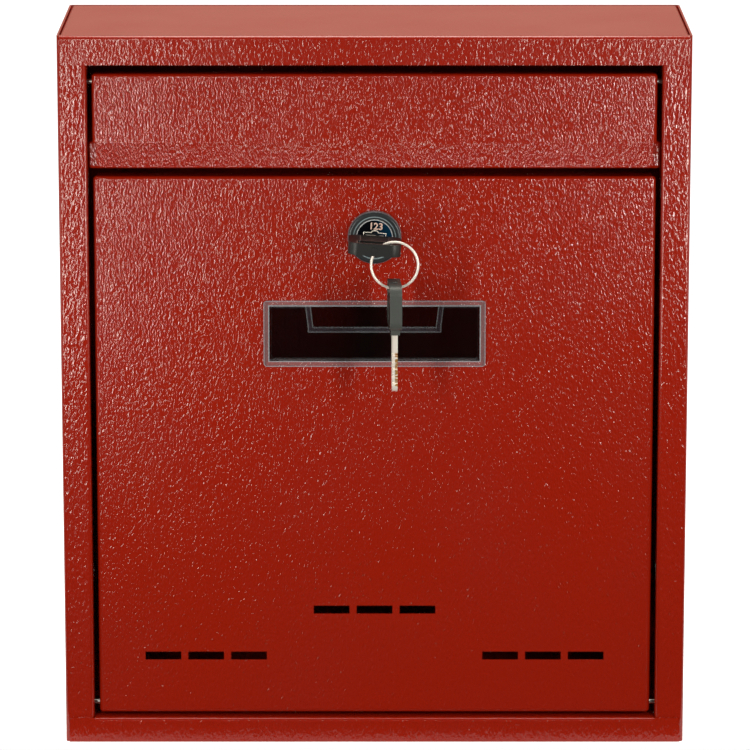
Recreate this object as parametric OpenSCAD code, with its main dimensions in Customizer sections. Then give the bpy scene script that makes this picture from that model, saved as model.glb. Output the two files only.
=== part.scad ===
// Wall letter box of folded sheet steel, with a letter flap at the top, a door hinged at
// its bottom edge, a clear name window, a cam lock and two keys on a ring.
// Millimetres. X is to the right, -Y is the front and Z is up. The origin is at the bottom
// centre of the back face, which lies against the wall.

/* [Cabinet] */
// Width over the side walls
body_w = 260; // [240:1:400]
// Height over the top panel
body_h = 300; // [270:1:420]
// Depth from the back to the front flanges
body_d = 90; // [80:1:160]
// Thickness of the steel sheet
sheet_t = 0.8; // [0.7:0.1:1]
// Inside radius of the folds
bend_r = 0.7; // [0.5:0.1:1]
// Width of the front flange on each side
flange_w = 12; // [10:0.5:16]
// Depth of the return behind each front flange
return_d = 10; // [9:0.5:16]
// Diameter of the four wall fixing holes
wall_hole_d = 6; // [4:0.5:8]
// Distance across between the wall fixing holes
wall_hole_w = 180; // [100:1:200]
// Distance up between the wall fixing holes
wall_hole_h = 170; // [80:1:180]
// Height of the lower wall fixing holes
wall_hole_z = 50; // [30:1:60]

/* [Top and bottom panels] */
// Height of the top panel's front flange
top_flange_h = 12; // [10:0.5:14]
// Depth of the tabs folded down inside the walls
tab_h = 9; // [6:0.5:10]
// Height of the floor, which is also the height of the front lip
floor_h = 10.4; // [9.5:0.1:16]
// How far the front lip stops short of the side of the cabinet
lip_inset = 1.5; // [1:0.5:4]

/* [Letter flap] */
// Height of the flap
flap_h = 38.6; // [36:0.1:60]
// Gap between the top flange and the flap
flap_gap = 4; // [3:0.5:6]
// Gap at each side of the flap
flap_side_gap = 2; // [1.5:0.1:3]
// How far the flap lies behind the front flanges
flap_recess = 2.4; // [1.8:0.1:3]
// Depth of the flap's side returns
flap_return_d = 8; // [7:0.5:10]
// Depth of the flap's top return
flap_top_return_d = 6; // [5:0.5:8]
// Height of the finger lip along the flap's lower edge
flap_lip_h = 10; // [9:0.5:15]
// Angle by which the finger lip stands out
flap_lip_angle = 12; // [5:1:15]
// Corner radius of the finger lip
flap_corner_r = 3; // [1:0.5:5]

/* [Cross rail] */
// Height of the rail's face
rail_h = 11.5; // [8:0.5:14]
// How far the rail's face lies behind the front flanges
rail_recess = 4.4; // [4:0.1:5]
// How far the rail reaches below the flap
rail_drop = 1.2; // [0:0.1:3]
// Depth of the rail's upper fold
rail_top_d = 8; // [5:0.5:12]

/* [Door] */
// Gap between the rail and the door
door_top_gap = 2.8; // [2:0.1:4]
// Gap between the floor and the door
door_bottom_gap = 1.6; // [1.6:0.1:3]
// Gap at each side of the door
door_side_gap = 2.2; // [1.5:0.1:3]
// How far the door lies behind the front flanges
door_recess = 2.2; // [1.8:0.1:3]
// Depth of the folds around the door
door_return_d = 9; // [8:0.5:11]

/* [Hinges] */
// Diameter of the hinge wire and pins
pin_d = 2.2; // [1.8:0.1:2.6]
// Radial clearance of the pins in the moving parts
pin_clear = 0.05; // [0.03:0.01:0.1]
// How far the hinge axes lie behind the front flanges
pin_inset = 5.5; // [5.3:0.1:6]
// Distance from the flap's top edge down to its hinge axis
flap_pin_drop = 3.5; // [3.5:0.1:5]
// Distance from the door's bottom edge up to its hinge axis
door_pin_rise = 4; // [3.5:0.1:4.3]
// Diameter of the pin heads
pin_head_d = 4; // [3.4:0.1:4.6]
// Thickness of the pin heads
pin_head_t = 1; // [0.8:0.1:2]

/* [Vent slots] */
// Length of one slot
slot_w = 15; // [8:0.5:15]
// Height of one slot
slot_h = 3.5; // [2:0.1:6]
// Distance between neighbouring slots
slot_pitch = 18; // [16:0.5:20]
// Slots in each group
slot_count = 3; // [2:1:3]
// Distance from the middle group to each outer group
vent_dx = 70.8; // [65:0.1:76]
// Height of the middle group above the door's bottom edge
vent_mid_z = 44.8; // [36:0.1:60]
// Height of the outer groups above the door's bottom edge
vent_side_z = 24.8; // [18:0.1:40]

/* [Name window] */
// Width of the clear window
window_w = 92; // [70:1:120]
// Height of the clear window
window_h = 27.9; // [26:0.1:34]
// Distance from the door's top edge down to the window
window_drop = 52.1; // [51.5:0.1:60]
// Width of the flange around the window
window_rim = 2.2; // [1.5:0.1:3]
// Thickness of the window's flange and pane
window_t = 1; // [0.8:0.1:1.5]
// Thickness of the walls of the card pocket
pocket_wall = 1; // [0.8:0.1:1.5]
// Room in the card pocket
pocket_gap = 2; // [1:0.1:3]
// Gap between the window and its hole in the door
window_fit = 0.2; // [0.1:0.05:0.4]
// Width of the finger notch at its lower end
notch_w = 50.8; // [30:0.1:56]
// Depth of the finger notch
notch_h = 9.6; // [6:0.1:12]
// Width of the bead around the finger notch
notch_bead = 2.2; // [1:0.1:3]

/* [Lock] */
// Distance from the door's top edge down to the lock
lock_drop = 25.3; // [24:0.1:27]
// Diameter of the lock's front collar
bezel_d = 22.2; // [21.4:0.1:28]
// Thickness of the lock's front collar
bezel_t = 2.6; // [2:0.1:4]
// Width of the band around the collar's front
bezel_band = 2.4; // [2:0.1:2.8]
// Depth of the step inside that band
bezel_step = 0.3; // [0.1:0.05:0.5]
// Diameter of the threaded barrel
barrel_d = 18; // [17:0.5:19]
// Distance across the barrel's two flats
barrel_flat = 16.4; // [15.8:0.1:16.8]
// Length of the barrel behind the door's face
barrel_l = 24.5; // [24.5:0.5:28]
// Diameter of the plug's face
plug_head_d = 15.4; // [14.5:0.1:15.8]
// Thickness of the plug's head
plug_head_t = 1.6; // [1.4:0.1:2]
// Width of the chamfer around the plug's face
plug_chamfer = 0.3; // [0.1:0.05:0.5]
// Diameter of the plug behind its head
plug_d = 12.6; // [12.5:0.1:13.2]
// Radial clearance of the plug in the barrel
plug_clear = 0.05; // [0.03:0.01:0.1]
// How far the plug's face lies behind the front collar
plug_sink = 0.4; // [0.2:0.1:0.8]
// Number of wafers
wafer_count = 5; // [3:1:5]
// Distance between wafers
wafer_pitch = 3; // [2.5:0.1:3.2]
// Thickness of a wafer
wafer_t = 0.8; // [0.6:0.1:1]
// Diameter of a wafer's spring
spring_d = 1.4; // [1.2:0.1:1.5]
// Thickness of the spring wire
spring_wire = 0.3; // [0.2:0.05:0.35]
// Thickness of the lock nut
lock_nut_t = 4; // [3:0.5:6]
// Distance across the flats of the lock nut
lock_nut_af = 23; // [22:0.5:26]
// Thickness of the lock washer
lock_washer_t = 1; // [0.8:0.1:1.5]

/* [Cam] */
// Reach of the cam from the lock's centre
cam_l = 34; // [32:0.5:38]
// Width of the cam
cam_w = 14; // [12:0.5:16]
// Thickness of the cam
cam_t = 1.6; // [1.2:0.1:2]
// Side of the plug's square tail
tail_w = 7; // [6.5:0.1:8]
// Play between the locked cam and the rail
cam_play = 0.8; // [0.3:0.1:2]
// Diameter of the plug's threaded stub
stub_d = 5; // [4:0.5:6]
// Distance across the flats of the cam nut
cam_nut_af = 9; // [8:0.5:10]
// Thickness of the cam nut
cam_nut_t = 3.5; // [3:0.5:5]

/* [Keys] */
// Width of a key's blade
blade_w = 7.4; // [6:0.1:7.6]
// Thickness of a key's blade
blade_t = 2.2; // [1.8:0.1:2.4]
// Length of a key's blade
blade_l = 24.5; // [20:0.1:24.5]
// Clearance around the blade in the plug
blade_clear = 0.1; // [0.05:0.01:0.2]
// How far the grip's collar stands off the lock when the key is in
key_out = 6; // [4:0.5:8]
// Width of a key's grip
bow_w = 21.6; // [20:0.1:24]
// Thickness of a key's grip
bow_t = 5; // [4.6:0.05:5.2]
// Length of a key's grip
bow_l = 18.6; // [18:0.1:22]
// Corner radius of a key's grip
bow_corner_r = 4; // [3:0.1:5]
// Width of the collar between grip and blade
collar_w = 12; // [11:0.1:14]
// Length of that collar
collar_l = 2.4; // [1.5:0.1:4]
// Length of the ring slot in a grip
ring_slot_w = 14; // [13.8:0.1:14.4]
// Width of the ring slot in a grip
ring_slot_h = 4.6; // [3.6:0.1:5]
// Material left between the ring slot and the end of the grip
ring_slot_edge = 1.5; // [1:0.1:2]
// Angle by which the key in the lock is turned
key_tilt = 4; // [0:1:6]
// Angle by which the hanging key is turned away from square to the door
spare_yaw = 3; // [0:1:5]
// Outer diameter of the key ring
ring_d = 20.2; // [20:0.1:24]
// Thickness of the key ring's wire
ring_wire = 1.05; // [0.8:0.05:1.2]
// Distance from the lock's centre across to the ring's centre
ring_dx = 8.2; // [8.1:0.1:8.5]
// Play between the ring and what it hangs on
hang_gap = 0.4; // [0.3:0.05:0.5]

/* [Hidden] */

// Colours
paint_red = [0.57, 0.1, 0.03];
steel = [0.72, 0.72, 0.7];
dark_metal = [0.2, 0.21, 0.24];
brass = [0.8, 0.68, 0.45];
black_plastic = [0.06, 0.06, 0.07];
clear_plastic = [0.85, 0.88, 0.9, 0.4];

// Smoothness of small folds and of visible rounds
$fn = 64;
// Overlap that lets a cut break through a face
cut = 1;

// Folds and fits of the sheet metal
bend_o = bend_r + sheet_t;
panel_fit = 0.2;
panel_w = body_w - 2 * (sheet_t + panel_fit);
panel_back = -sheet_t - panel_fit;
open_x = body_w / 2 - flange_w;
lip_w = body_w - 2 * lip_inset;
lip_corner_r = 1.6;
flange_corner_r = 1.2;

// Heights, counted from the top down to the door and up from the floor
flap_top = body_h - top_flange_h - flap_gap;
flap_bottom = flap_top - flap_h;
flap_fold_z = flap_bottom + flap_lip_h;
rail_z = flap_bottom - rail_drop;
door_top = rail_z - door_top_gap;
door_bottom = floor_h + door_bottom_gap;
door_w = 2 * (open_x - door_side_gap);
flap_w = 2 * (open_x - flap_side_gap);
flap_lip_w = flap_w - 2 * bend_o;

// Planes of the faces
door_y = -body_d + door_recess;
flap_y = -body_d + flap_recess;
rail_y = -body_d + rail_recess;
pin_y = -body_d + pin_inset;
flap_pin_z = flap_top - flap_pin_drop;
door_pin_z = door_bottom + door_pin_rise;
pin_end = 1.6;

// Name window
window_z = door_top - window_drop - window_h / 2;
spigot_w = window_w - 2 * window_rim;
spigot_h = window_h - 2 * window_rim;
spigot_d = pocket_gap + pocket_wall;
window_corner_r = 1.5;
notch_flare = 1.2;
lug_w = 8;
lug_out = 0.7;
lug_t = 1;

// Lock, in its own frame: z = 0 is the door's face and +z is the front
lock_z = door_top - lock_drop;
barrel_play = 0.15;
plug_face = bezel_t - plug_sink;
plug_rear = -barrel_l;
blade_in = blade_l - key_out;
keyway_play = 0.4;
keyway_end = plug_face - blade_in - keyway_play;
wafer_lead = 0.8;
wafer_first = plug_face - plug_head_t - wafer_lead;
wafer_w = 5;
wafer_gap = 0.1;
wafer_l = 2 * (sqrt(pow(plug_d / 2, 2) - pow(wafer_w / 2, 2)) - wafer_gap);
spring_l = 3;
spring_turns = 4;
spring_x = 1.1;
spring_play = 0.3;
spring_room = spring_d + spring_play;
spring_y = wafer_w / 2 + wafer_gap + spring_room / 2;
cam_hub_rim = 1;
cam_washer_t = 0.8;
cam_washer_rim = 1.5;
cam_washer_d = cam_nut_af + 2 * cam_washer_rim;
lock_washer_rim = 0.5;
lock_washer_d = lock_nut_af + 2 * lock_washer_rim;
stub_end = 0.8;
stub_l = cam_t + cam_washer_t + cam_nut_t + stub_end;
cam_clear = 0.05;
thread_clear = 0.05;

// Cam and rail
cam_front = door_y + barrel_l;
rail_bottom_d = cam_front - cam_play - rail_y;

// Keys and ring, in a key's own frame: z = 0 is the end of the collar towards the lock,
// the blade runs to -z and the grip to +z
key_l = collar_l + bow_l;
slot_top = key_l - ring_slot_edge;
slot_mid = slot_top - ring_slot_h / 2;
ring_slot_r = 1;
head_w = 9;
head_l = 8;
collar_t = 3.8;
tooth_first = key_out + plug_head_t + wafer_lead + wafer_t / 2;
tooth_depths = [1.3, 0.7, 1.6, 0.9, 1.4];
groove_w = 1.4;
groove_d = 0.45;
groove_dx = 1.2;
recess_w = 11.4;
recess_d = 0.4;
recess_gap = 1.8;
recess_end = 1.5;
recess_top = slot_top - ring_slot_h - recess_gap;
recess_l = recess_top - collar_l - recess_end;
boss_d = 2.4;
boss_t = 0.3;
ring_r = (ring_d - ring_wire) / 2;
ring_inner = ring_d / 2 - ring_wire;
ring_slot_play = 0.8;
key_face_y = door_y - plug_face - key_out;
ring_y = key_face_y - slot_top + ring_wire / 2 + ring_slot_play;
ring_z = lock_z - ring_dx * tan(key_tilt) + bow_t / 2 / cos(key_tilt) + hang_gap - ring_inner;
// the ring rises this much on its way through the hanging key's grip
ring_rise = ring_r - sqrt(pow(ring_r, 2) - pow(bow_t / 2, 2));
spare_z = ring_z - ring_r + ring_rise + ring_wire / 2 + hang_gap / 2 - slot_top;

// Helpers

// Section of a quarter-turn fold, in the first quadrant
module fold_arc() {
    intersection() {
        difference() {
            circle(r = bend_o);
            circle(r = bend_r);
        }
        square(bend_o);
    }
}

// Section of a folded edge: the fold starts at the origin and the edge runs down to -depth
module fold_section(depth) {
    translate([0, -bend_o]) fold_arc();
    translate([bend_o - sheet_t, -depth]) square([sheet_t, depth - bend_o]);
}

// A folded edge along Y, beside a plate whose face is at z = 0
module fold(length, depth) {
    rotate([90, 0, 0])
        linear_extrude(length, center = true)
            fold_section(depth);
}

// Rounded corner where two folded edges meet, in the first octant
module fold_corner() {
    intersection() {
        difference() {
            sphere(r = bend_o);
            sphere(r = bend_r);
        }
        cube(bend_o);
    }
}

// Plate with its face at z = 0 between the given edges, folded back along the edges that
// have a depth
module pan(x0, x1, y0, y1, left = 0, right = 0, bottom = 0, top = 0) {
    px0 = x0 + (left > 0 ? bend_o : 0);
    px1 = x1 - (right > 0 ? bend_o : 0);
    py0 = y0 + (bottom > 0 ? bend_o : 0);
    py1 = y1 - (top > 0 ? bend_o : 0);
    mx = (px0 + px1) / 2;
    my = (py0 + py1) / 2;
    translate([px0, py0, -sheet_t]) cube([px1 - px0, py1 - py0, sheet_t]);
    if (right > 0) translate([px1, my, 0]) fold(py1 - py0, right);
    if (left > 0) translate([px0, my, 0]) rotate([0, 0, 180]) fold(py1 - py0, left);
    if (top > 0) translate([mx, py1, 0]) rotate([0, 0, 90]) fold(px1 - px0, top);
    if (bottom > 0) translate([mx, py0, 0]) rotate([0, 0, -90]) fold(px1 - px0, bottom);
    if (right > 0 && top > 0) translate([px1, py1, -bend_o]) fold_corner();
    if (left > 0 && top > 0) translate([px0, py1, -bend_o]) rotate([0, 0, 90]) fold_corner();
    if (left > 0 && bottom > 0) translate([px0, py0, -bend_o]) rotate([0, 0, 180]) fold_corner();
    if (right > 0 && bottom > 0) translate([px1, py0, -bend_o]) rotate([0, 0, 270]) fold_corner();
}

// What is cut off a corner in the first quadrant to round it
module corner_waste(r) {
    translate([-r, -r])
        difference() {
            square(r + cut);
            circle(r = r);
        }
}

// Rounded rectangle about the origin
module rounded_rect(w, h, r) {
    square([w - 2 * r, h], center = true);
    square([w, h - 2 * r], center = true);
    for (sx = [-1, 1], sy = [-1, 1])
        translate([sx * (w / 2 - r), sy * (h / 2 - r)]) circle(r = r);
}

// Places children on a front plane: their z = 0 is at y, +z is to the front
module front_at(x, y, z) {
    translate([x, y, z]) rotate([90, 0, 0]) children();
}

// Cylinder along X, centred on the given point
module x_rod(d, length, x = 0) {
    translate([x, 0, 0]) rotate([0, 90, 0]) cylinder(d = d, h = length, center = true);
}

// Cabinet

// Right half of the cabinet's section, seen from above
module wrap_half() {
    side = body_w / 2;
    translate([0, -sheet_t]) square([side - bend_o, sheet_t]);
    translate([side - bend_o, -bend_o]) fold_arc();
    translate([side - sheet_t, -body_d + bend_o]) square([sheet_t, body_d - 2 * bend_o]);
    translate([side - bend_o, -body_d + bend_o]) rotate(-90) fold_arc();
    translate([open_x + bend_o, -body_d]) square([flange_w - 2 * bend_o, sheet_t]);
    translate([open_x + bend_o, -body_d + bend_o]) rotate(180) fold_arc();
    translate([open_x, -body_d + bend_o]) square([sheet_t, return_d - bend_o]);
}

// Back, side walls, front flanges and returns, folded from one sheet
module cabinet_wrap() {
    color(paint_red)
        difference() {
            linear_extrude(body_h) {
                wrap_half();
                mirror([1, 0]) wrap_half();
            }
            // room for the top panel and its front fold between the side walls
            translate([-body_w / 2 + sheet_t, -body_d - cut, body_h - bend_o])
                cube([body_w - 2 * sheet_t, return_d + 2 * cut, bend_o + cut]);
            // wall fixing holes
            for (sx = [-1, 1], sz = [0, 1])
                translate([sx * wall_hole_w / 2, 0, wall_hole_z + sz * wall_hole_h])
                    rotate([90, 0, 0])
                        cylinder(d = wall_hole_d, h = 4 * sheet_t, center = true);
            // hinge holes in the returns
            for (sx = [-1, 1], pz = [flap_pin_z, door_pin_z])
                translate([sx * (open_x + sheet_t / 2), pin_y, pz])
                    x_rod(pin_d, 3 * sheet_t);
        }
}

// Top panel: tabs inside the walls and a front flange over the side flanges
module top_panel() {
    front_strip = -body_d + 2 * bend_o;
    color(paint_red)
        difference() {
            translate([0, 0, body_h]) {
                pan(-panel_w / 2, panel_w / 2, front_strip, panel_back, tab_h, tab_h, 0, tab_h);
                translate([-panel_w / 2, -body_d - sheet_t + bend_o, -sheet_t])
                    cube([panel_w, front_strip + body_d + sheet_t - bend_o, sheet_t]);
                translate([0, -body_d - sheet_t + bend_o, 0])
                    rotate([0, 0, -90]) fold(panel_w, top_flange_h);
            }
            for (side = [0, 1])
                mirror([side, 0, 0])
                    front_at(panel_w / 2, -body_d + cut, body_h - top_flange_h)
                        linear_extrude(sheet_t + 2 * cut)
                            mirror([0, 1]) corner_waste(flange_corner_r);
        }
}

// Floor with tabs inside the walls, a tongue between the returns and a lip at the front
module bottom_panel() {
    tongue_x = open_x - panel_fit;
    floor_front = -body_d + return_d + panel_fit;
    lip_bend_y = -body_d - sheet_t + bend_o;
    ear_w = lip_w / 2 - tongue_x;
    color(paint_red) {
        translate([0, 0, floor_h]) {
            pan(-panel_w / 2, panel_w / 2, floor_front, panel_back, tab_h, tab_h, 0, tab_h);
            translate([-tongue_x, lip_bend_y, -sheet_t])
                cube([2 * tongue_x, floor_front - lip_bend_y, sheet_t]);
            translate([0, lip_bend_y, 0])
                rotate([0, 0, -90]) fold(2 * tongue_x, floor_h);
        }
        for (side = [0, 1])
            mirror([side, 0, 0])
                front_at(tongue_x, -body_d, 0)
                    linear_extrude(sheet_t)
                        difference() {
                            square([ear_w, floor_h]);
                            translate([ear_w, floor_h]) corner_waste(lip_corner_r);
                        }
    }
}

// Channel between flap and door, which the locked cam hooks behind
module cross_rail() {
    color(paint_red)
        front_at(0, rail_y, rail_z)
            pan(-open_x, open_x, 0, rail_h, return_d, return_d, rail_bottom_d, rail_top_d);
}

// Letter flap

// Section of the finger lip: x is to the front, the plate ends at the origin
module lip_section() {
    lip_l = (flap_lip_h - bend_o * sin(flap_lip_angle)) / cos(flap_lip_angle);
    translate([bend_r, 0]) {
        intersection() {
            difference() {
                circle(r = bend_o);
                circle(r = bend_r);
            }
            polygon([
                [0, 0],
                [-2 * bend_o, 0],
                [-2 * bend_o * cos(flap_lip_angle), -2 * bend_o * sin(flap_lip_angle)]
            ]);
        }
        rotate(flap_lip_angle) translate([-bend_o, -lip_l]) square([sheet_t, lip_l]);
    }
}

module flap() {
    color(paint_red)
        difference() {
            union() {
                front_at(0, flap_y, 0)
                    pan(-flap_w / 2, flap_w / 2, flap_fold_z, flap_top,
                        flap_return_d, flap_return_d, 0, flap_top_return_d);
                translate([0, flap_y, flap_fold_z])
                    rotate([90, 0, 90])
                        linear_extrude(flap_lip_w, center = true)
                            mirror([1, 0]) lip_section();
            }
            for (side = [0, 1])
                mirror([side, 0, 0]) {
                    // rounded corner of the lip
                    front_at(flap_lip_w / 2, flap_y + 2 * cut, flap_bottom)
                        linear_extrude(4 * cut + flap_lip_h)
                            mirror([0, 1]) corner_waste(flap_corner_r);
                    // slanted end of the side return
                    translate([flap_w / 2, flap_y + flap_return_d, flap_fold_z])
                        rotate([45, 0, 0])
                            cube(flap_return_d, center = true);
                    // hinge hole
                    translate([flap_w / 2, pin_y, flap_pin_z])
                        x_rod(pin_d + 2 * pin_clear, 4 * bend_o);
                }
        }
}

// Hinge wire of the flap, pressed through the returns, with peened ends
module flap_rod() {
    end_x = open_x + sheet_t;
    color(steel)
        translate([0, pin_y, flap_pin_z]) {
            x_rod(pin_d, 2 * end_x);
            for (sx = [-1, 1])
                x_rod(pin_head_d, pin_head_t, sx * (end_x + pin_head_t / 2));
        }
}

// Door

// Hole for the lock's barrel, with its two flats
module barrel_hole(gap) {
    intersection() {
        circle(d = barrel_d + 2 * gap);
        square([barrel_d + 4 * gap, barrel_flat + 2 * gap], center = true);
    }
}

// One row of vent slots about the origin
module vent_row() {
    for (i = [0:slot_count - 1])
        translate([(i - (slot_count - 1) / 2) * slot_pitch, 0])
            square([slot_w, slot_h], center = true);
}

module door_panel() {
    color(paint_red)
        difference() {
            front_at(0, door_y, 0)
                pan(-door_w / 2, door_w / 2, door_bottom, door_top,
                    door_return_d, door_return_d, door_return_d, door_return_d);
            front_at(0, door_y + sheet_t + cut, 0)
                linear_extrude(sheet_t + 2 * cut) {
                    translate([0, lock_z]) barrel_hole(barrel_play);
                    translate([0, window_z])
                        square([spigot_w + 2 * window_fit, spigot_h + 2 * window_fit], center = true);
                    translate([0, door_bottom + vent_mid_z]) vent_row();
                    for (sx = [-1, 1])
                        translate([sx * vent_dx, door_bottom + vent_side_z]) vent_row();
                }
            for (sx = [-1, 1])
                translate([sx * door_w / 2, pin_y, door_pin_z])
                    x_rod(pin_d + 2 * pin_clear, 4 * bend_o);
        }
}

// Hinge pin on the right, from its head behind the flange into the door
module door_pin() {
    inner = door_w / 2 - sheet_t - pin_end;
    outer = open_x + sheet_t;
    color(steel)
        translate([0, pin_y, door_pin_z]) {
            x_rod(pin_d, outer - inner, (outer + inner) / 2);
            x_rod(pin_head_d, pin_head_t, outer + pin_head_t / 2);
        }
}

module door_pin_right() {
    door_pin();
}

module door_pin_left() {
    mirror([1, 0, 0]) door_pin();
}

// Outline of the finger notch, cut down from the pocket's upper edge
module notch_outline(grow) {
    half = notch_w / 2 + grow;
    low = spigot_h / 2 - notch_h - grow;
    high = spigot_h / 2 + cut;
    polygon([
        [-half, low],
        [half, low],
        [half + notch_flare, high],
        [-half - notch_flare, high]
    ]);
}

// Clear window with a card pocket behind it, clipped into the door
module name_window() {
    color(clear_plastic)
        front_at(0, door_y, window_z) {
            linear_extrude(window_t) rounded_rect(window_w, window_h, window_corner_r);
            // walls of the pocket
            translate([0, 0, -spigot_d])
                linear_extrude(spigot_d)
                    difference() {
                        square([spigot_w, spigot_h], center = true);
                        square([spigot_w - 2 * pocket_wall, spigot_h - 2 * pocket_wall], center = true);
                        notch_outline(0);
                    }
            // back of the pocket
            translate([0, 0, -spigot_d])
                linear_extrude(pocket_wall)
                    difference() {
                        square([spigot_w, spigot_h], center = true);
                        notch_outline(0);
                    }
            // bead around the notch
            translate([0, 0, -spigot_d - pocket_wall / 2])
                linear_extrude(pocket_wall / 2)
                    difference() {
                        intersection() {
                            notch_outline(notch_bead);
                            square([spigot_w, spigot_h], center = true);
                        }
                        notch_outline(0);
                    }
            // clips that catch behind the door's sheet
            for (sx = [-1, 1], sy = [-1, 1])
                translate([sx * (spigot_w / 2 - lug_w), sy * spigot_h / 2, -sheet_t - lug_t])
                    linear_extrude(lug_t)
                        square([lug_w, 2 * lug_out], center = true);
        }
}

// Lock

module lock_frame() {
    front_at(0, door_y, lock_z) children();
}

// Half section of the front collar: rounded outside, sunk in two steps to the plug
module bezel_section() {
    r = bezel_d / 2;
    edge = bezel_t / 2;
    difference() {
        union() {
            square([r - edge, bezel_t]);
            square([r, bezel_t - edge]);
            translate([r - edge, bezel_t - edge]) circle(r = edge);
        }
        translate([0, bezel_t - bezel_step]) square([r - bezel_band, bezel_step + cut]);
    }
}

module lock_housing() {
    color(dark_metal)
        lock_frame()
            difference() {
                union() {
                    rotate_extrude() bezel_section();
                    translate([0, 0, -barrel_l]) linear_extrude(barrel_l + bezel_t / 2) barrel_hole(0);
                }
                translate([0, 0, plug_face - plug_head_t])
                    cylinder(r = plug_head_d / 2 + plug_clear, h = bezel_t);
                translate([0, 0, -barrel_l - cut])
                    cylinder(r = plug_d / 2 + plug_clear, h = barrel_l + bezel_t + 2 * cut);
            }
}

module lock_washer() {
    color(steel)
        lock_frame()
            translate([0, 0, -sheet_t - lock_washer_t])
                difference() {
                    cylinder(d = lock_washer_d, h = lock_washer_t);
                    translate([0, 0, -cut])
                        cylinder(r = barrel_d / 2 + thread_clear, h = lock_washer_t + 2 * cut);
                }
}

module lock_nut() {
    color(steel)
        lock_frame()
            translate([0, 0, -sheet_t - lock_washer_t - lock_nut_t])
                difference() {
                    cylinder(r = lock_nut_af / 2 / cos(30), h = lock_nut_t, $fn = 6);
                    translate([0, 0, -cut])
                        cylinder(r = barrel_d / 2 + thread_clear, h = lock_nut_t + 2 * cut);
                }
}

// Frame that turns with the key
module plug_frame() {
    translate([0, door_y, lock_z]) rotate([0, key_tilt, 0]) rotate([90, 0, 0]) children();
}

// Turning plug with keyway, wafer slots, square tail and threaded stub
module lock_plug() {
    color(dark_metal)
        plug_frame()
            difference() {
                union() {
                    translate([0, 0, plug_face - plug_head_t])
                        cylinder(d = plug_head_d, h = plug_head_t - plug_chamfer);
                    translate([0, 0, plug_face - plug_chamfer])
                        cylinder(d1 = plug_head_d, d2 = plug_head_d - 2 * plug_chamfer, h = plug_chamfer);
                    translate([0, 0, plug_rear])
                        cylinder(d = plug_d, h = plug_face - plug_rear - cut);
                    translate([-tail_w / 2, -tail_w / 2, plug_rear - cam_t])
                        cube([tail_w, tail_w, cam_t + cut]);
                    translate([0, 0, plug_rear - stub_l])
                        cylinder(d = stub_d, h = stub_l);
                }
                translate([-blade_w / 2 - blade_clear, -blade_t / 2 - blade_clear, keyway_end])
                    cube([blade_w + 2 * blade_clear, blade_t + 2 * blade_clear, blade_l]);
                for (i = [0:wafer_count - 1]) {
                    translate([-plug_d / 2, -wafer_w / 2 - wafer_gap, wafer_z(i) - wafer_gap])
                        cube([plug_d, wafer_w + 2 * wafer_gap, wafer_t + 2 * wafer_gap]);
                    // pocket of the wafer's lug and spring
                    translate([-spring_x, wafer_w / 2, wafer_z(i) + wafer_t / 2 - spring_room / 2])
                        cube([2 * spring_x + spring_l, spring_room + wafer_gap, spring_room]);
                }
            }
}

function wafer_z(i) = wafer_first - wafer_t - i * wafer_pitch;

// Wafers: flat plates with a window for the blade and a lug that the spring pushes on
module lock_wafers() {
    color(brass)
        plug_frame()
            for (i = [0:wafer_count - 1])
                translate([0, 0, wafer_z(i)])
                    linear_extrude(wafer_t) {
                        difference() {
                            square([wafer_l, wafer_w], center = true);
                            square([blade_w + 4 * blade_clear, blade_t + 4 * blade_clear], center = true);
                        }
                        translate([0, wafer_w / 2 - wafer_t])
                            square([spring_x - wafer_gap, spring_d + wafer_t]);
                    }
}

// Springs of the wafers, lying across the plug beside the wafers
module wafer_springs() {
    color(steel)
        plug_frame()
            for (i = [0:wafer_count - 1])
                translate([spring_x, spring_y, wafer_z(i) + wafer_t / 2])
                    rotate([0, 90, 0])
                        linear_extrude(
                            spring_l, twist = -360 * spring_turns, slices = 8 * spring_turns, $fn = 6
                        )
                            translate([(spring_d - spring_wire) / 2, 0]) circle(d = spring_wire);
}

// Cam, pointing to the left while the key is level and up when it is locked
module lock_cam() {
    color(steel)
        plug_frame()
            translate([0, 0, plug_rear - cam_t])
                linear_extrude(cam_t)
                    difference() {
                        union() {
                            circle(d = cam_w + 2 * cam_hub_rim);
                            translate([-cam_l + cam_w / 2, -cam_w / 2]) square([cam_l - cam_w / 2, cam_w]);
                            translate([-cam_l + cam_w / 2, 0]) circle(d = cam_w);
                        }
                        square(tail_w + 2 * cam_clear, center = true);
                    }
}

module cam_washer() {
    color(steel)
        plug_frame()
            translate([0, 0, plug_rear - cam_t - cam_washer_t])
                difference() {
                    cylinder(d = cam_washer_d, h = cam_washer_t);
                    translate([0, 0, -cut])
                        cylinder(r = stub_d / 2 + thread_clear, h = cam_washer_t + 2 * cut);
                }
}

module cam_nut() {
    color(steel)
        plug_frame()
            translate([0, 0, plug_rear - cam_t - cam_washer_t - cam_nut_t])
                difference() {
                    cylinder(r = cam_nut_af / 2 / cos(30), h = cam_nut_t, $fn = 6);
                    translate([0, 0, -cut])
                        cylinder(r = stub_d / 2 + thread_clear, h = cam_nut_t + 2 * cut);
                }
}

// Keys

// Outline of the blade from its head inside the grip to its tip, x across and y along
module blade_outline() {
    tip = blade_w / 2;
    difference() {
        union() {
            translate([-head_w / 2, collar_l]) square([head_w, head_l]);
            translate([-blade_w / 2, -blade_l + tip]) square([blade_w, blade_l - tip + collar_l]);
            translate([0, -blade_l + tip]) circle(r = tip);
        }
        for (i = [0:len(tooth_depths) - 1])
            translate([-blade_w / 2, -tooth_first - i * wafer_pitch])
                rotate(45) square(tooth_depths[i] * sqrt(2), center = true);
    }
}

// Solid of a blade, without the grooves milled along it
module blade_solid() {
    rotate([90, 0, 0])
        linear_extrude(blade_t, center = true)
            blade_outline();
}

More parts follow.
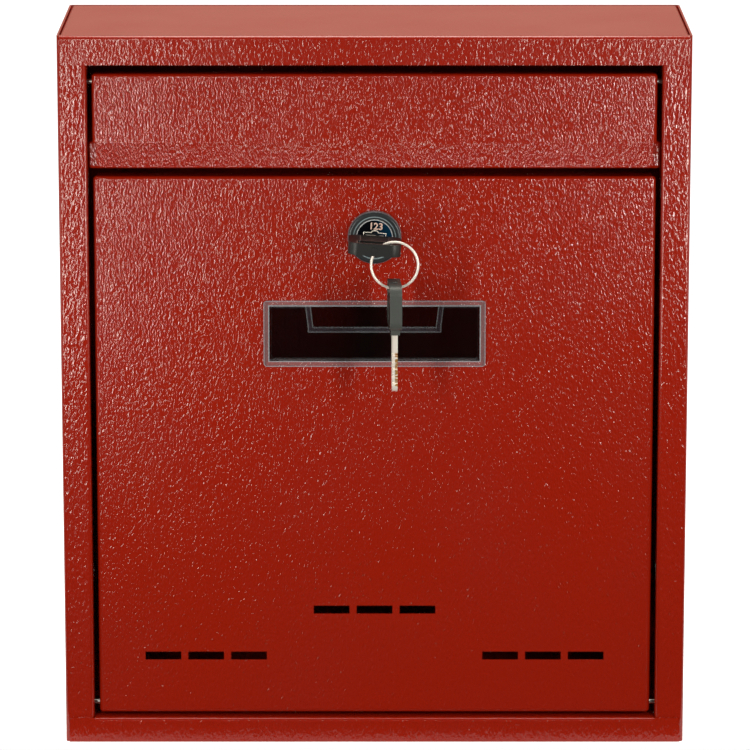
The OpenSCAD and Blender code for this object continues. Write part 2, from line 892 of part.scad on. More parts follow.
module blade() {
    color(brass)
        difference() {
            blade_solid();
            for (sy = [-1, 1])
                translate([-groove_w / 2 + sy * groove_dx, sy * blade_t / 2 - groove_d, -blade_l - cut])
                    cube([groove_w, 2 * groove_d, blade_l + cut]);
        }
}

// Moulded grip with a ring slot, a recess in each face and a collar around the blade
module bow() {
    color(black_plastic)
        difference() {
            union() {
                rotate([90, 0, 0])
                    linear_extrude(bow_t, center = true)
                        translate([0, collar_l + bow_l / 2]) rounded_rect(bow_w, bow_l, bow_corner_r);
                translate([-collar_w / 2, -collar_t / 2, 0]) cube([collar_w, collar_t, collar_l + cut]);
                translate([0, 0, key_l - cut]) cylinder(d = boss_d, h = cut + boss_t);
            }
            rotate([90, 0, 0])
                linear_extrude(2 * bow_t, center = true)
                    translate([0, slot_mid]) rounded_rect(ring_slot_w, ring_slot_h, ring_slot_r);
            for (sy = [-1, 1])
                translate([-recess_w / 2, sy * bow_t / 2 - recess_d, recess_top - recess_l])
                    cube([recess_w, 2 * recess_d, recess_l]);
            blade_solid();
        }
}

module key_in_lock() {
    plug_frame() translate([0, 0, plug_face + key_out]) children();
}

module spare_key() {
    translate([ring_dx, ring_y, spare_z]) rotate([0, 0, 90 + spare_yaw]) children();
}

module key_blade() {
    key_in_lock() blade();
}

module key_bow() {
    key_in_lock() bow();
}

module spare_key_blade() {
    spare_key() blade();
}

module spare_key_bow() {
    spare_key() bow();
}

// Ring through the slots of both grips
module key_ring() {
    color(steel)
        translate([ring_dx, ring_y, ring_z])
            rotate([90, 0, 0])
                rotate_extrude($fn = 96)
                    translate([ring_r, 0]) circle(d = ring_wire, $fn = 32);
}

cabinet_wrap();
top_panel();
bottom_panel();
cross_rail();
flap();
flap_rod();
door_panel();
door_pin_left();
door_pin_right();
name_window();
lock_housing();
lock_washer();
lock_nut();
lock_plug();
lock_wafers();
wafer_springs();
lock_cam();
cam_washer();
cam_nut();
key_blade();
key_bow();
key_ring();
spare_key_blade();
spare_key_bow();
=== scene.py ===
"""Looks of the wall letter box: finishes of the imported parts, small details, studio and camera.

Lengths are in metres and colours are linear."""

import math

import bmesh
import bpy
from mathutils import Matrix, Vector


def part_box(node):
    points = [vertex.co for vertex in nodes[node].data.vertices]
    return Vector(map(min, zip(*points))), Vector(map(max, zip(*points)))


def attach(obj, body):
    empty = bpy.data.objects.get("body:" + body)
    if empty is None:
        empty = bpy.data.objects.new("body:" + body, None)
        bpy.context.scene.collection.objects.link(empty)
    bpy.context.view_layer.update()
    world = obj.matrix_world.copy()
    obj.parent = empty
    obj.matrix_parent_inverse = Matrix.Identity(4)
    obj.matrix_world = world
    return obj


MM = 0.001

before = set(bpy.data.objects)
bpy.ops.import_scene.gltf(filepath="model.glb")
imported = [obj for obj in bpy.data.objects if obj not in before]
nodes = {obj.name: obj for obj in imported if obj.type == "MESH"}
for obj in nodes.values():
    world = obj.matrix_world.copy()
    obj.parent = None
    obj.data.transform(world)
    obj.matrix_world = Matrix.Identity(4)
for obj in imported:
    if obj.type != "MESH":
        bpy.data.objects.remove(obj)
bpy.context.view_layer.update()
scene = bpy.context.scene


# Shader helpers


def new_material(name):
    """A material, its node tree and its Principled shader."""
    material = bpy.data.materials.new(name)
    material.use_nodes = True
    tree = material.node_tree
    return material, tree, tree.nodes["Principled BSDF"]


def add(tree, kind, **settings):
    """A shader node with some of its attributes set."""
    node = tree.nodes.new(kind)
    for key, value in settings.items():
        setattr(node, key, value)
    return node


def object_coords(tree, stretch=(1, 1, 1)):
    """Object coordinates in metres, scaled by stretch."""
    coords = add(tree, "ShaderNodeTexCoord")
    mapping = add(tree, "ShaderNodeMapping")
    mapping.inputs["Scale"].default_value = stretch
    tree.links.new(coords.outputs["Object"], mapping.inputs["Vector"])
    return mapping.outputs["Vector"]


def split(tree, vector):
    """The X, Y and Z sockets of a vector."""
    axes = add(tree, "ShaderNodeSeparateXYZ")
    tree.links.new(vector, axes.inputs["Vector"])
    return axes.outputs


def noise(tree, coords, size, detail=2.0, roughness=0.5, distortion=0.0):
    """Noise whose features are about size metres across."""
    node = add(tree, "ShaderNodeTexNoise")
    node.inputs["Scale"].default_value = 1 / size
    node.inputs["Detail"].default_value = detail
    node.inputs["Roughness"].default_value = roughness
    node.inputs["Distortion"].default_value = distortion
    tree.links.new(coords, node.inputs["Vector"])
    return node.outputs["Fac"]


def map_range(tree, value, low, high, to_low, to_high, smooth=False):
    """Maps low..high to to_low..to_high."""
    node = add(tree, "ShaderNodeMapRange")
    if smooth:
        node.interpolation_type = "SMOOTHSTEP"
    node.inputs["From Min"].default_value = low
    node.inputs["From Max"].default_value = high
    node.inputs["To Min"].default_value = to_low
    node.inputs["To Max"].default_value = to_high
    tree.links.new(value, node.inputs["Value"])
    return node.outputs["Result"]


NOISE_LOW = 0.3
NOISE_HIGH = 0.7


def spread(tree, grain, to_low, to_high):
    """Spreads the values that a noise mostly has over to_low..to_high."""
    return map_range(tree, grain, NOISE_LOW, NOISE_HIGH, to_low, to_high)


def math_node(tree, operation, a, b=0.0):
    """Maths on two sockets, or on a socket and a number."""
    node = add(tree, "ShaderNodeMath", operation=operation)
    tree.links.new(a, node.inputs[0])
    if isinstance(b, float | int):
        node.inputs[1].default_value = b
    else:
        tree.links.new(b, node.inputs[1])
    return node.outputs[0]


def larger(tree, a, b):
    return math_node(tree, "MAXIMUM", a, b)


def product(tree, a, b):
    return math_node(tree, "MULTIPLY", a, b)


def less(tree, value, amount):
    return math_node(tree, "SUBTRACT", value, amount)


def mix(tree, factor, first, second):
    """Mixes two colours, each of them a socket or a fixed colour."""
    node = add(tree, "ShaderNodeMix", data_type="RGBA")
    tree.links.new(factor, node.inputs[0])
    for socket, colour in ((node.inputs[6], first), (node.inputs[7], second)):
        if isinstance(colour, tuple):
            socket.default_value = (*colour, 1)
        else:
            tree.links.new(colour, socket)
    return node.outputs[2]


def bump(tree, shader, height, depth):
    """Bump of the given depth in metres."""
    node = add(tree, "ShaderNodeBump")
    node.inputs["Strength"].default_value = 1.0
    node.inputs["Distance"].default_value = depth
    tree.links.new(height, node.inputs["Height"])
    tree.links.new(node.outputs["Normal"], shader.inputs["Normal"])
    return node


def band(tree, value, low, high, soft):
    """1 where value lies between low and high."""
    rise = map_range(tree, value, low - soft, low + soft, 0, 1, smooth=True)
    fall = map_range(tree, value, high - soft, high + soft, 1, 0, smooth=True)
    return product(tree, rise, fall)


def facing(tree, axis, low, high):
    """1 on faces whose normal lies along an axis of the object, 0 on the others."""
    coords = add(tree, "ShaderNodeTexCoord")
    dot = add(tree, "ShaderNodeVectorMath", operation="DOT_PRODUCT")
    dot.inputs[1].default_value = axis
    tree.links.new(coords.outputs["Normal"], dot.inputs[0])
    size = math_node(tree, "ABSOLUTE", dot.outputs["Value"])
    return map_range(tree, size, low, high, 0, 1, smooth=True)


def radius_about(tree, centre):
    """Distance from an axis along Y through centre."""
    offset = add(tree, "ShaderNodeVectorMath", operation="SUBTRACT")
    offset.inputs[1].default_value = centre
    tree.links.new(object_coords(tree), offset.inputs[0])
    flat = add(tree, "ShaderNodeVectorMath", operation="MULTIPLY")
    flat.inputs[1].default_value = (1, 0, 1)
    tree.links.new(offset.outputs[0], flat.inputs[0])
    length = add(tree, "ShaderNodeVectorMath", operation="LENGTH")
    tree.links.new(flat.outputs[0], length.inputs[0])
    return length.outputs["Value"]


# Paint

PAINT_DARK = (0.285, 0.0085, 0.0006)
PAINT_LIGHT = (0.305, 0.0098, 0.0009)
PAINT_SPECULAR = 0.7
PAINT_CLOUD = 0.05
PAINT_DULLER = 1.15
PAINT_GLOSSIER = 0.9
TWICE_AS_TALL = (1, 1, 0.5)
FLAT_FROM = 0.92
FLAT_FULL = 0.97
SMOOTH_BEND = 0.12
LIP_NORMAL = (0, -0.978, 0.208)
LIP_FROM = 0.99
LIP_FULL = 0.997
LIP_DEPTH = 1.9


def flat_faces(tree, axes):
    """1 on the flat faces that lie across one of the axes, 0 on the bends between them."""
    flat = facing(tree, axes[0], FLAT_FROM, FLAT_FULL)
    for axis in axes[1:]:
        flat = larger(tree, flat, facing(tree, axis, FLAT_FROM, FLAT_FULL))
    return flat


def powder_coat(name, grain, depth, gloss=0.18, smooth_top=False, rough_lip=False):
    """Red textured powder coat: wrinkles about grain wide and twice as tall that fade on the
    bends, with smooth_top also on level faces, and with rough_lip deeper on the sloping lip."""
    material, tree, shader = new_material(name)
    coords = object_coords(tree, TWICE_AS_TALL)
    relief = bump(tree, shader, noise(tree, coords, grain, detail=0.8, distortion=0.5), depth)
    rough_axes = [(0, 1, 0), (1, 0, 0)]
    if not smooth_top:
        rough_axes.append((0, 0, 1))
    strength = map_range(tree, flat_faces(tree, rough_axes), 0, 1, SMOOTH_BEND, 1)
    tree.links.new(strength, relief.inputs["Strength"])
    if rough_lip:
        lip = facing(tree, LIP_NORMAL, LIP_FROM, LIP_FULL)
        deep = map_range(tree, lip, 0, 1, depth, LIP_DEPTH * depth)
        tree.links.new(deep, relief.inputs["Distance"])
    cloud = noise(tree, object_coords(tree), PAINT_CLOUD, detail=3)
    tree.links.new(mix(tree, cloud, PAINT_DARK, PAINT_LIGHT), shader.inputs["Base Color"])
    rough = spread(tree, cloud, PAINT_DULLER * gloss, PAINT_GLOSSIER * gloss)
    tree.links.new(rough, shader.inputs["Roughness"])
    shader.inputs["Specular IOR Level"].default_value = PAINT_SPECULAR
    return material


# Metals

PLATE_STREAK = 0.4 * MM
PLATE_DEPTH = 0.004 * MM
PLATE_DARKER = 0.85
PLATE_GLOSSIER = 0.8
PLATE_DULLER = 1.25


def plated(name, colour, roughness, metallic=1.0):
    """Plated or bright metal with faint streaks and uneven gloss."""
    material, tree, shader = new_material(name)
    streaks = noise(tree, object_coords(tree, (1, 1, 4)), PLATE_STREAK, detail=3, roughness=0.6)
    darker = tuple(PLATE_DARKER * c for c in colour)
    tree.links.new(mix(tree, streaks, darker, colour), shader.inputs["Base Color"])
    rough = spread(tree, streaks, PLATE_GLOSSIER * roughness, PLATE_DULLER * roughness)
    tree.links.new(rough, shader.inputs["Roughness"])
    shader.inputs["Metallic"].default_value = metallic
    bump(tree, shader, streaks, PLATE_DEPTH)
    return material


NICKEL_DARK = (0.92, 0.86, 0.76)
NICKEL_LIGHT = (1, 0.95, 0.87)
KEY_STREAK = 0.5 * MM
KEY_DEPTH = 0.006 * MM
KEY_ROUGH = (0.3, 0.42)
BRASS_CUT = (0.4, 0.2, 0.045)
CUTS_FROM = 0.07
CUTS_TO = 0.47
CUTS_SOFT = 0.3 * MM
TOOTH_SIZE = 0.9 * MM
TOOTH_LOW = 0.38
TOOTH_HIGH = 0.46


def cut_teeth(tree, node_name):
    """1 in the row of cuts that shows along the right half of a hanging blade's edge."""
    low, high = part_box(node_name)
    length = high[2] - low[2]
    middle = (low[0] + high[0]) / 2
    axes = split(tree, object_coords(tree))
    right = map_range(tree, axes["X"], middle, middle + CUTS_SOFT, 0, 1)
    row_low = low[2] + CUTS_FROM * length
    row_high = low[2] + CUTS_TO * length
    row = band(tree, axes["Z"], row_low, row_high, CUTS_SOFT)
    teeth = noise(tree, object_coords(tree, (0.3, 0.3, 1)), TOOTH_SIZE, detail=1)
    teeth = map_range(tree, teeth, TOOTH_LOW, TOOTH_HIGH, 0, 1)
    return product(tree, product(tree, right, row), teeth)


def key_metal(name, cut_node=None):
    """Bright nickel silver, with brass in the cuts on one side of a blade's edge."""
    material, tree, shader = new_material(name)
    streaks = noise(tree, object_coords(tree, (1, 1, 3)), KEY_STREAK, detail=3, roughness=0.6)
    colour = mix(tree, streaks, NICKEL_DARK, NICKEL_LIGHT)
    if cut_node:
        colour = mix(tree, cut_teeth(tree, cut_node), colour, BRASS_CUT)
    tree.links.new(colour, shader.inputs["Base Color"])
    tree.links.new(spread(tree, streaks, *KEY_ROUGH), shader.inputs["Roughness"])
    shader.inputs["Metallic"].default_value = 0.4
    bump(tree, shader, streaks, KEY_DEPTH)
    return material


LOCK_LOW, LOCK_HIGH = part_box("lock_nut")
LOCK_CENTRE = (0, 0, (LOCK_LOW[2] + LOCK_HIGH[2]) / 2)
GUNMETAL_DARK = (0.03, 0.034, 0.038)
GUNMETAL_LIGHT = (0.055, 0.06, 0.066)
# Painted highlights on the collar: a teal line around its step and a light band on its outer edge
TEAL_STEP_HIGHLIGHT = (0.4, 0.52, 0.55)
STEP_HIGHLIGHT_RADII = (8.5 * MM, 8.9 * MM)
COLLAR_EDGE_HIGHLIGHT = (0.22, 0.22, 0.24)
COLLAR_HIGHLIGHT_RADII = (10.8 * MM, 12 * MM)
COLLAR_ROUGH = (0.28, 0.38)
# Painted reflection on the plug's face, black turning to deep blue across it, and a painted
# highlight ring on its rim
FACE_BLACK = (0.003, 0.004, 0.006)
FACE_BLUE_SHEEN = (0.004, 0.04, 0.085)
FACE_SHEEN_SPAN = (-2 * MM, 7.5 * MM)
FACE_ROUGH = (0.1, 0.16)
RIM_HIGHLIGHT = (0.85, 0.87, 0.88)
RIM_HIGHLIGHT_RADII = (7.3 * MM, 8 * MM)


def housing_metal(name):
    """Gunmetal collar with painted highlights: a thin teal line around its step and a light band
    on its outer edge.
    """
    material, tree, shader = new_material(name)
    turned = noise(tree, object_coords(tree), 0.4 * MM, detail=3)
    radius = radius_about(tree, LOCK_CENTRE)
    # painted highlights: teal line at the step, light band on the outer edge
    line = band(tree, radius, *STEP_HIGHLIGHT_RADII, 0.1 * MM)
    edge = band(tree, radius, *COLLAR_HIGHLIGHT_RADII, 0.15 * MM)
    colour = mix(tree, turned, GUNMETAL_DARK, GUNMETAL_LIGHT)
    colour = mix(tree, line, colour, TEAL_STEP_HIGHLIGHT)
    colour = mix(tree, edge, colour, COLLAR_EDGE_HIGHLIGHT)
    tree.links.new(colour, shader.inputs["Base Color"])
    tree.links.new(spread(tree, turned, *COLLAR_ROUGH), shader.inputs["Roughness"])
    shader.inputs["Metallic"].default_value = 0.5
    return material


def plug_metal(name):
    """Plug with a glossy black face that has a painted deep blue reflection across it, inside a
    painted bright highlight ring on its rim.
    """
    material, tree, shader = new_material(name)
    axes = split(tree, object_coords(tree))
    # painted reflection: black to deep blue across the face
    across = map_range(tree, axes["X"], *FACE_SHEEN_SPAN, 0, 1, smooth=True)
    # painted highlight: bright ring on the rim
    rim = band(tree, radius_about(tree, LOCK_CENTRE), *RIM_HIGHLIGHT_RADII, 0.1 * MM)
    colour = mix(tree, rim, mix(tree, across, FACE_BLACK, FACE_BLUE_SHEEN), RIM_HIGHLIGHT)
    tree.links.new(colour, shader.inputs["Base Color"])
    speck = noise(tree, object_coords(tree), 0.6 * MM, detail=3)
    tree.links.new(spread(tree, speck, *FACE_ROUGH), shader.inputs["Roughness"])
    shader.inputs["Metallic"].default_value = 0.3
    return material


# Plastics

LINE_SOFT = 0.08 * MM
GRIP_BLACK = (0.006, 0.004, 0.004)
GRIP_GRAIN = 0.3 * MM
GRIP_DEPTH = 0.02 * MM
GRIP_ROUGH = (0.38, 0.5)
GRIP_SHADE = 0.7
BROAD_FROM = 0.75
BROAD_FULL = 0.95
# Painted highlight lines along the edges of the grip's recess and ring slot
EDGE_GLINT = (0.12, 0.095, 0.085)
GLINT_LINE = (-0.1 * MM, 0.3 * MM)
RECESS_CENTRE = 12.5 * MM
RECESS_HALF = (5.7 * MM, 4.6 * MM)
SLOT_CENTRE = 3.8 * MM
SLOT_HALF = (7 * MM, 2.3 * MM)


def line_round(tree, axes, middle_y, half):
    """Line along the edge of a rectangle of half size in X and Y about X 0 and middle_y."""
    x = less(tree, math_node(tree, "ABSOLUTE", axes["X"]), half[0])
    y = less(tree, math_node(tree, "ABSOLUTE", less(tree, axes["Y"], middle_y)), half[1])
    return band(tree, larger(tree, x, y), *GLINT_LINE, LINE_SOFT)


def grip_edge_glints(tree, node_name):
    """Painted highlights along the edges of the recess and the ring slot on a level grip."""
    end_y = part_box(node_name)[0][1]
    axes = split(tree, object_coords(tree))
    recess = line_round(tree, axes, end_y + RECESS_CENTRE, RECESS_HALF)
    slot = line_round(tree, axes, end_y + SLOT_CENTRE, SLOT_HALF)
    return larger(tree, recess, slot)


def grip_plastic(name, across, edge_sheen, glint_node=None):
    """Moulded black grip: black on the broad faces across the grip, with a paler painted sheen,
    matt, on the faces along its edges.
    """
    material, tree, shader = new_material(name)
    grain = noise(tree, object_coords(tree), GRIP_GRAIN, detail=2)
    # painted sheen: the faces along the grip's edges get the paler colour, the broad faces stay
    # black
    deeper = tuple(GRIP_SHADE * c for c in edge_sheen)
    broad = facing(tree, across, BROAD_FROM, BROAD_FULL)
    colour = mix(tree, broad, mix(tree, grain, deeper, edge_sheen), GRIP_BLACK)
    # painted highlights along the edges of the recess and the ring slot
    if glint_node:
        edge_glints = product(tree, grip_edge_glints(tree, glint_node), broad)
        colour = mix(tree, edge_glints, colour, EDGE_GLINT)
    tree.links.new(colour, shader.inputs["Base Color"])
    tree.links.new(spread(tree, grain, *GRIP_ROUGH), shader.inputs["Roughness"])
    bump(tree, shader, grain, GRIP_DEPTH)
    return material


SCRATCH_SIZE = 4 * MM
WINDOW_GLOSSY = 0.06
WINDOW_SCRATCHED = 0.14
WINDOW_RIM = 2.2 * MM
PANE_DEPTH = 1.8 * MM
NOTCH_H = 9.6 * MM
NOTCH_W = 50.8 * MM
NOTCH_FLARE = 1.2 * MM
NOTCH_BEAD = 2.2 * MM
OUTER_LINE = (-0.45 * MM, 1 * MM)
INNER_LINE = (-0.25 * MM, 0.25 * MM)
NOTCH_LINE = (-1 * MM, 0.4 * MM)
BEAD_LINE = (NOTCH_BEAD - 0.4 * MM, NOTCH_BEAD + 0.1 * MM)
# Painted shade on the panes, painted sheen on the rim and the bead, and painted highlights on the
# edge lines
PANE_SHADE = (0.004, 0.003, 0.003)
RIM_SHEEN = (0.5, 0.5, 0.52)
BEAD_SHEEN = (0.16, 0.15, 0.19)
WINDOW_EDGE_GLINT = (0.5, 0.52, 0.56)
FRONT_FROM = 0.93
FRONT_FULL = 0.99
PANE_VEIL = 0.25
RIM_VEIL = 0.16
LINE_VEIL = 0.4


def line_at(tree, distance, limits):
    return band(tree, distance, *limits, LINE_SOFT)


def window_outline(tree, x, z, half_w, half_h):
    """The window's rim, and the painted highlight lines along the outside and the inside of the
    rim.
    """
    outer = larger(tree, less(tree, x, half_w), less(tree, z, half_h))
    inner_x = less(tree, x, half_w - WINDOW_RIM)
    inner_z = less(tree, z, half_h - WINDOW_RIM)
    inner = larger(tree, inner_x, inner_z)
    rim = math_node(tree, "GREATER_THAN", inner, 0.0)
    return rim, larger(tree, line_at(tree, outer, OUTER_LINE), line_at(tree, inner, INNER_LINE))


def window_notch(tree, x, up, behind, notch_low):
    """The painted highlight lines around the finger notch, and the bead between them, which gets a
    painted sheen.
    """
    flare = map_range(tree, up, notch_low, notch_low + NOTCH_H, 0, NOTCH_FLARE)
    side = less(tree, less(tree, x, NOTCH_W / 2), flare)
    below = product(tree, less(tree, up, notch_low), -1.0)
    notch = larger(tree, side, below)
    lines = larger(tree, line_at(tree, notch, NOTCH_LINE), line_at(tree, notch, BEAD_LINE))
    bead = band(tree, notch, 0, NOTCH_BEAD, LINE_SOFT)
    return product(tree, lines, behind), product(tree, bead, behind)


def clear_plastic(name):
    """Clear moulded plastic with painted light and shade: a dark veil on the panes for the shade
    in the box behind them, a pale painted sheen on the rim and on the notch's bead, and painted
    highlights in light lines around the rim, the pocket and the finger notch and on the faces that
    don't face the front."""
    material, tree, shader = new_material(name)
    scratches = noise(tree, object_coords(tree, (1, 1, 12)), SCRATCH_SIZE, detail=4, roughness=0.7)
    rough = map_range(tree, scratches, 0.55, 0.75, WINDOW_GLOSSY, WINDOW_SCRATCHED)
    tree.links.new(rough, shader.inputs["Roughness"])
    low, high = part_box("name_window")
    half_w = (high[0] - low[0]) / 2
    half_h = (high[2] - low[2]) / 2
    axes = split(tree, object_coords(tree))
    up = less(tree, axes["Z"], (low[2] + high[2]) / 2)
    x = math_node(tree, "ABSOLUTE", axes["X"])
    z = math_node(tree, "ABSOLUTE", up)
    behind = math_node(tree, "GREATER_THAN", axes["Y"], low[1] + PANE_DEPTH)
    rim, outline = window_outline(tree, x, z, half_w, half_h)
    notch_low = half_h - WINDOW_RIM - NOTCH_H
    notch_lines, bead = window_notch(tree, x, up, behind, notch_low)
    lines = larger(tree, outline, notch_lines)
    broad = facing(tree, (0, 1, 0), FRONT_FROM, FRONT_FULL)
    # painted shade on the panes, painted sheen on the rim and bead, painted highlights on the
    # lines and side faces
    colour = mix(tree, rim, PANE_SHADE, RIM_SHEEN)
    colour = mix(tree, bead, colour, BEAD_SHEEN)
    colour = mix(tree, lines, colour, WINDOW_EDGE_GLINT)
    colour = mix(tree, broad, WINDOW_EDGE_GLINT, colour)
    tree.links.new(colour, shader.inputs["Base Color"])
    veil = map_range(tree, rim, 0, 1, PANE_VEIL, RIM_VEIL)
    veil = larger(tree, veil, product(tree, lines, LINE_VEIL))
    veil = larger(tree, veil, map_range(tree, broad, 0, 1, LINE_VEIL, 0))
    tree.links.new(veil, shader.inputs["Alpha"])
    return material


# Finishes of the parts

RED_FRAME = powder_coat("red_frame", 1.05 * MM, 0.38 * MM)
RED_TOP = powder_coat("red_top", 0.95 * MM, 0.3 * MM, gloss=0.22, smooth_top=True)
RED_DOOR = powder_coat("red_door", 0.8 * MM, 0.3 * MM)
RED_FLAP = powder_coat("red_flap", 0.75 * MM, 0.3 * MM, rough_lip=True)
ZINC = plated("zinc", (0.78, 0.8, 0.76), 0.3)
LOCK_DARK = housing_metal("lock_dark")
PLUG_DARK = plug_metal("plug_dark")
BRASS = plated("brass_plate", (0.72, 0.56, 0.27), 0.3)
KEY_METAL = key_metal("key_metal")
SPARE_METAL = key_metal("spare_metal", cut_node="spare_key_blade")
RING_STEEL = key_metal("ring_wire")
# The paler edge colours of the grips are painted sheen
KEY_GRIP = grip_plastic("key_grip", (0.07, 0, 1), (0.014, 0.015, 0.015), glint_node="key_bow")
SPARE_GRIP = grip_plastic("spare_grip", (1, 0, 0), (0.07, 0.077, 0.07))
CLEAR = clear_plastic("clear_window")

FINISHES = {
    "cabinet_wrap": RED_FRAME,
    "top_panel": RED_TOP,
    "bottom_panel": RED_FRAME,
    "cross_rail": RED_FRAME,
    "flap": RED_FLAP,
    "flap_rod": ZINC,
    "door_panel": RED_DOOR,
    "door_pin_left": ZINC,
    "door_pin_right": ZINC,
    "name_window": CLEAR,
    "lock_housing": LOCK_DARK,
    "lock_washer": ZINC,
    "lock_nut": ZINC,
    "lock_plug": PLUG_DARK,
    "lock_wafers": BRASS,
    "wafer_springs": ZINC,
    "lock_cam": ZINC,
    "cam_washer": ZINC,
    "cam_nut": ZINC,
    "key_blade": KEY_METAL,
    "key_bow": KEY_GRIP,
    "key_ring": RING_STEEL,
    "spare_key_blade": SPARE_METAL,
    "spare_key_bow": SPARE_GRIP,
}

for node_name, finish in FINISHES.items():
    mesh = nodes[node_name].data
    mesh.materials.clear()
    mesh.materials.append(finish)


# Edges of the coated sheets and mouldings

WELD_GAP = 0.002 * MM
SHARP_ANGLE = math.radians(40)
GRIP_ROUND = 0.45 * MM
WINDOW_ROUND = 0.3 * MM
SHEET_ROUND = 0.2 * MM


def soften(name, width, segments=2):
    """Rounds the sharp edges of a part a little."""
    part = nodes[name]
    weld = part.modifiers.new("weld", "WELD")
    weld.merge_threshold = WELD_GAP
    bevel = part.modifiers.new("edges", "BEVEL")
    bevel.width = width
    bevel.segments = segments
    bevel.limit_method = "ANGLE"
    bevel.angle_limit = SHARP_ANGLE
    bevel.use_clamp_overlap = True


for node_name in ("key_bow", "spare_key_bow"):
    soften(node_name, GRIP_ROUND, segments=3)
soften("name_window", WINDOW_ROUND)
for node_name in ("flap", "door_panel", "top_panel", "bottom_panel", "cabinet_wrap"):
    soften(node_name, SHEET_ROUND)


# Small details on the plug's face

COPPER_WHITE = plated("copper_white", (0.85, 0.6, 0.5), 0.4, metallic=0.2)
PALE_METAL = key_metal("pale_metal")
PLUG_FACE_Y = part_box("lock_plug")[0][1]
PLUG_TURN = math.radians(4)
PLUG_PLACE = (
    Matrix.Translation((0, PLUG_FACE_Y, LOCK_CENTRE[2]))
    @ Matrix.Rotation(PLUG_TURN, 4, "Y")
    @ Matrix.Rotation(math.radians(90), 4, "X")
)
NUMBER_SIZE = 3.9 * MM
NUMBER_BOLD = 0.1 * MM
NUMBER_THICK = 0.04 * MM
NUMBER_PLACE = (0.3 * MM, 4.7 * MM, 0.03 * MM)
KEYWAY_HALF_W = 4.6 * MM
KEYWAY_HALF_H = 2.1 * MM
KEYWAY_WIRE = 0.22 * MM
HUMP_HALF_W = 1.5 * MM
HUMP_H = 0.9 * MM
HUMP_STEPS = 8


def put_on_plug(name, curve, place, material):
    """Adds a curve or text piece that turns with the plug."""
    curve.materials.append(material)
    piece = bpy.data.objects.new(name, curve)
    piece.matrix_world = place
    scene.collection.objects.link(piece)
    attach(piece, "plug")


def plug_number():
    """Plain number above the keyway, laid on the plug's face."""
    letters = bpy.data.curves.new("plug_number", "FONT")
    letters.body = "123"
    letters.align_x = "CENTER"
    letters.align_y = "CENTER"
    letters.size = NUMBER_SIZE
    letters.offset = NUMBER_BOLD
    letters.extrude = NUMBER_THICK
    place = PLUG_PLACE @ Matrix.Translation(NUMBER_PLACE)
    put_on_plug("plug_number", letters, place, COPPER_WHITE)


def keyway_outline():
    """Points around the keyway, with a hump above and below the blade's middle."""
    angles = [math.pi * i / HUMP_STEPS for i in range(HUMP_STEPS + 1)]
    hump = [(HUMP_HALF_W * math.cos(a), KEYWAY_HALF_H + HUMP_H * math.sin(a)) for a in angles]
    upper = [(KEYWAY_HALF_W, KEYWAY_HALF_H)] + hump + [(-KEYWAY_HALF_W, KEYWAY_HALF_H)]
    return upper + [(-x, -y) for x, y in upper]


def keyway_surround():
    """Raised light rim around the keyway."""
    wire = bpy.data.curves.new("keyway_surround", "CURVE")
    wire.dimensions = "3D"
    wire.bevel_depth = KEYWAY_WIRE
    wire.bevel_resolution = 3
    points = keyway_outline()
    spline = wire.splines.new("POLY")
    spline.points.add(len(points) - 1)
    for point, (x, y) in zip(spline.points, points):
        point.co = (x, y, 0, 1)
    spline.use_cyclic_u = True
    put_on_plug("keyway_surround", wire, PLUG_PLACE, PALE_METAL)


plug_number()
keyway_surround()


# Studio

WHITE = (1, 1, 1)
WARM_LAMP = (1, 0.95, 0.86)
WARM_WALL = (1.25, 0.97, 0.75)
FILL_FRONT = 0.36
FILL_BACK = 0.85
DARK_ROOM = 0.01
SEEN_TURN = (-0.15, 0.1)
FILL_TURN = (-0.3, 0.3)
MIRRORED = 0.38


def backdrop_light(tree, path, toward_back, lit):
    """Strength of the backdrop: 1 to the camera, white behind the object and dim in front
    of it in reflections and through clear parts, and lit for the rays that light the object."""
    passed = product(tree, path["Is Transmission Ray"], toward_back)
    seen = larger(tree, path["Is Camera Ray"], passed)
    mirror = product(tree, toward_back, MIRRORED)
    glossy = product(tree, path["Is Glossy Ray"], mirror)
    fill = product(tree, path["Is Diffuse Ray"], lit)
    return larger(tree, larger(tree, seen, glossy), fill)


def make_world():
    """White backdrop with a dim room in front of the object."""
    world = bpy.data.worlds.new("studio")
    world.use_nodes = True
    tree = world.node_tree
    background = tree.nodes["Background"]
    path = add(tree, "ShaderNodeLightPath").outputs
    coords = add(tree, "ShaderNodeTexCoord")
    back = split(tree, coords.outputs["Generated"])["Y"]
    toward_back = map_range(tree, back, *SEEN_TURN, DARK_ROOM, 1, smooth=True)
    fill = map_range(tree, back, *FILL_TURN, FILL_FRONT, FILL_BACK, smooth=True)
    strength = backdrop_light(tree, path, toward_back, fill)
    tree.links.new(strength, background.inputs["Strength"])
    tint = mix(tree, path["Is Glossy Ray"], WHITE, WARM_WALL)
    tree.links.new(tint, background.inputs["Color"])
    scene.world = world


FLOOR_FRONT = -0.1
FLOOR_REACH = 4
FLOOR_GLOW = 0.6
FLOOR_MOTTLE = 0.3
FLOOR_ROUGH = 0.9
FLOOR_SPECULAR = 0.1
FLOOR_DARK = (0.88, 0.88, 0.88)
FLOOR_LIGHT = (0.92, 0.92, 0.92)


def floor_mesh():
    """A plane that ends close in front of the object."""
    shape = bmesh.new()
    corners = [
        (-FLOOR_REACH, FLOOR_FRONT),
        (FLOOR_REACH, FLOOR_FRONT),
        (FLOOR_REACH, FLOOR_REACH),
        (-FLOOR_REACH, FLOOR_REACH),
    ]
    shape.faces.new([shape.verts.new((x, y, 0)) for x, y in corners])
    mesh = bpy.data.meshes.new("floor")
    shape.to_mesh(mesh)
    shape.free()
    return mesh


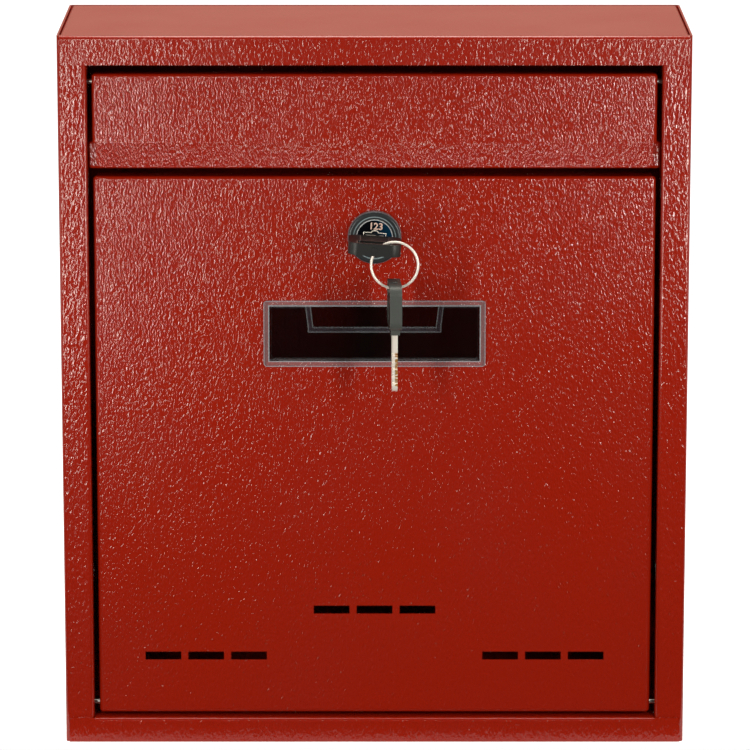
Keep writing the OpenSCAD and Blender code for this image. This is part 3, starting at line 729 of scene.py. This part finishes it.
def floor_white(name):
    """Pale matt floor that the camera sees a little brighter than it is lit."""
    material, tree, shader = new_material(name)
    mottle = noise(tree, object_coords(tree), FLOOR_MOTTLE, detail=2)
    tree.links.new(mix(tree, mottle, FLOOR_DARK, FLOOR_LIGHT), shader.inputs["Base Color"])
    shader.inputs["Roughness"].default_value = FLOOR_ROUGH
    shader.inputs["Specular IOR Level"].default_value = FLOOR_SPECULAR
    shader.inputs["Emission Color"].default_value = (*WHITE, 1)
    path = add(tree, "ShaderNodeLightPath").outputs
    direct = larger(tree, path["Is Camera Ray"], path["Is Transmission Ray"])
    glow = product(tree, direct, FLOOR_GLOW)
    tree.links.new(glow, shader.inputs["Emission Strength"])
    return material


def make_floor():
    """Table top behind and under the object; the open door hangs over its front edge."""
    floor = bpy.data.objects.new("floor", floor_mesh())
    floor.data.materials.append(floor_white("floor_white"))
    scene.collection.objects.link(floor)


CAMERA_DISTANCE = 2.0
CAMERA_ELEVATION = math.radians(12.5)
CAMERA_LENS = 231.5
CAMERA_SENSOR = 36
AIM = Vector((0.0002, -0.09, 0.1582))


def make_camera():
    """Camera in front of the object, raised by the elevation and turned to AIM."""
    camera = bpy.data.cameras.new("camera")
    camera.lens = CAMERA_LENS
    camera.sensor_width = CAMERA_SENSOR
    eye = bpy.data.objects.new("camera", camera)
    back = Vector((0, -math.cos(CAMERA_ELEVATION), math.sin(CAMERA_ELEVATION)))
    eye.location = AIM + CAMERA_DISTANCE * back
    eye.rotation_euler = (-back).to_track_quat("-Z", "Y").to_euler()
    scene.collection.objects.link(eye)
    scene.camera = eye


# Place, target, width and height, and power of each lamp
LAMPS = {
    "lamp_left": ((-0.25, -0.46, 0.2), (-0.06, -0.09, 0.17), (0.05, 0.28), 0.92),
    "lamp_right": ((0.28, -0.46, 0.24), (0.06, -0.09, 0.2), (0.05, 0.2), 0.95),
    "side_left": ((-0.9, -0.35, 0.13), (-0.13, -0.05, 0.13), (0.45, 0.32), 0.6),
    "side_right": ((0.9, -0.35, 0.13), (0.13, -0.05, 0.13), (0.45, 0.32), 0.6),
    "lamp_top": ((0, 0.15, 1.3), (0, -0.03, 0.3), (0.9, 0.9), 15),
}


def area_light(name, place, target, size, power):
    """A rectangular softbox that faces target."""
    light = bpy.data.lights.new(name, "AREA")
    light.shape = "RECTANGLE"
    light.size, light.size_y = size
    light.energy = power
    light.color = WARM_LAMP
    lamp = bpy.data.objects.new(name, light)
    lamp.location = place
    lamp.visible_camera = False
    lamp.rotation_euler = (Vector(target) - Vector(place)).to_track_quat("-Z", "Y").to_euler()
    scene.collection.objects.link(lamp)


scene.view_settings.view_transform = "Standard"
make_world()
make_floor()
make_camera()
for lamp_name, settings in LAMPS.items():
    area_light(lamp_name, *settings)
